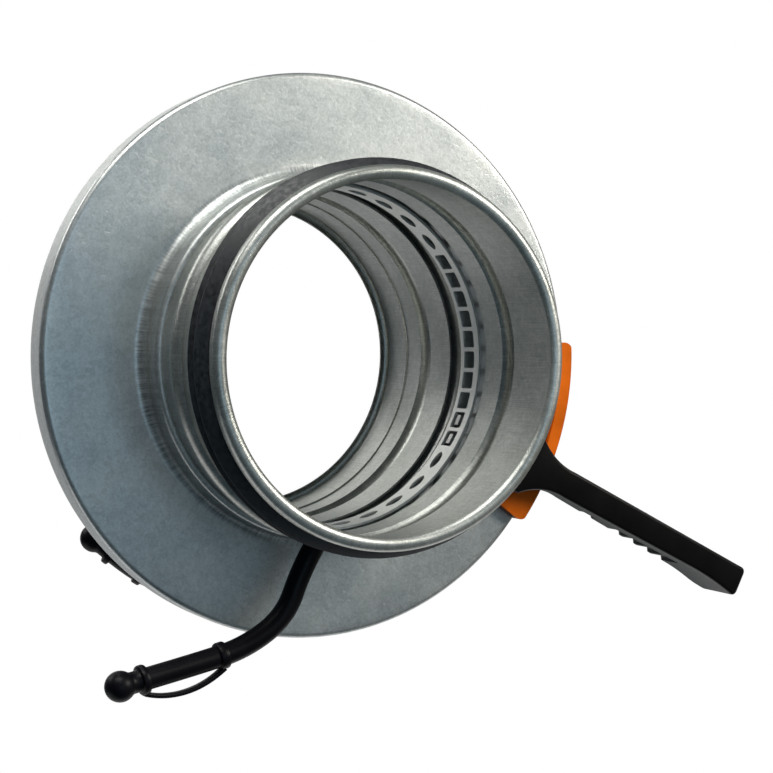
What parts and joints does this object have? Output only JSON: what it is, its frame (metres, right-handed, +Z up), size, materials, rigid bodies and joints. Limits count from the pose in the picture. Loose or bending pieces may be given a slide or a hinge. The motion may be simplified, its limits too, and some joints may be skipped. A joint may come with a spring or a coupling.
{
  "type": "iris damper",
  "caption": "Round duct iris damper: gasketed spigots either side of a flat round casing, an inner slotted ring, iris blades, a long lever with a scale plate and hose pressure taps.",
  "frame": {"origin": "on the duct axis, half way between the two mouths", "axes": "+Y along the duct from the front mouth to the rear mouth, +Z up, so that the lever's side is +X"},
  "size_m": [0.2238, 0.1096, 0.1685],
  "materials": {
    "galvanised": "satin",
    "pressed_steel": "satin",
    "rivet_steel": "satin",
    "gasket_rubber": "matte",
    "hose_rubber": "semi-gloss",
    "black_plastic": "matte",
    "orange_plastic": "gloss"
  },
  "bodies": {
    "casing": {"front_spigot": "galvanised", "rear_spigot": "galvanised", "front_casing": "pressed_steel", "rear_casing": "pressed_steel", "front_gasket": "gasket_rubber", "rear_gasket": "gasket_rubber", "pivot_pins": "rivet_steel", "scale_plate": "orange_plastic", "front_tap": "black_plastic", "rear_tap": "black_plastic", "front_hose": "hose_rubber", "rear_hose": "hose_rubber", "front_cap": "hose_rubber", "rear_cap": "hose_rubber"},
    "lever_ring": {"control_ring": "galvanised", "drive_arm": "rivet_steel", "arm_rivets": "rivet_steel", "handle": "black_plastic", "handle_screw": "rivet_steel"},
    "iris_blade_1": {"blade_1": "galvanised", "drive_pin_1": "rivet_steel"},
    "iris_blade_2": {"blade_2": "galvanised", "drive_pin_2": "rivet_steel"},
    "iris_blade_3": {"blade_3": "galvanised", "drive_pin_3": "rivet_steel"},
    "iris_blade_4": {"blade_4": "galvanised", "drive_pin_4": "rivet_steel"},
    "iris_blade_5": {"blade_5": "galvanised", "drive_pin_5": "rivet_steel"},
    "iris_blade_6": {"blade_6": "galvanised", "drive_pin_6": "rivet_steel"}
  },
  "joints": [
    {"name": "ring_turn", "type": "hinge", "parent": "casing", "child": "lever_ring", "pos_m": [0, 0, 0], "axis": [0, -1, 0], "range_deg": [0, 24]},
    {"name": "blade_1_swing", "type": "hinge", "parent": "casing", "child": "iris_blade_1", "pos_m": [0.0492, 0.004, -0.0566], "axis": [0, -1, 0], "range_deg": [0, 18]},
    {"name": "blade_2_swing", "type": "hinge", "parent": "casing", "child": "iris_blade_2", "pos_m": [0.07362, 0.004, 0.01431], "axis": [0, -1, 0], "range_deg": [0, 18]},
    {"name": "blade_3_swing", "type": "hinge", "parent": "casing", "child": "iris_blade_3", "pos_m": [0.02442, 0.004, 0.07091], "axis": [0, -1, 0], "range_deg": [0, 18]},
    {"name": "blade_4_swing", "type": "hinge", "parent": "casing", "child": "iris_blade_4", "pos_m": [-0.0492, 0.004, 0.0566], "axis": [0, -1, 0], "range_deg": [0, 18]},
    {"name": "blade_5_swing", "type": "hinge", "parent": "casing", "child": "iris_blade_5", "pos_m": [-0.07362, 0.004, -0.01431], "axis": [0, -1, 0], "range_deg": [0, 18]},
    {"name": "blade_6_swing", "type": "hinge", "parent": "casing", "child": "iris_blade_6", "pos_m": [-0.02442, 0.004, -0.07091], "axis": [0, -1, 0], "range_deg": [0, 18]}
  ],
  "couplings": [
    {"joint": "blade_1_swing", "follows": "ring_turn", "ratio": 0.75},
    {"joint": "blade_2_swing", "follows": "ring_turn", "ratio": 0.75},
    {"joint": "blade_3_swing", "follows": "ring_turn", "ratio": 0.75},
    {"joint": "blade_4_swing", "follows": "ring_turn", "ratio": 0.75},
    {"joint": "blade_5_swing", "follows": "ring_turn", "ratio": 0.75},
    {"joint": "blade_6_swing", "follows": "ring_turn", "ratio": 0.75}
  ]
}
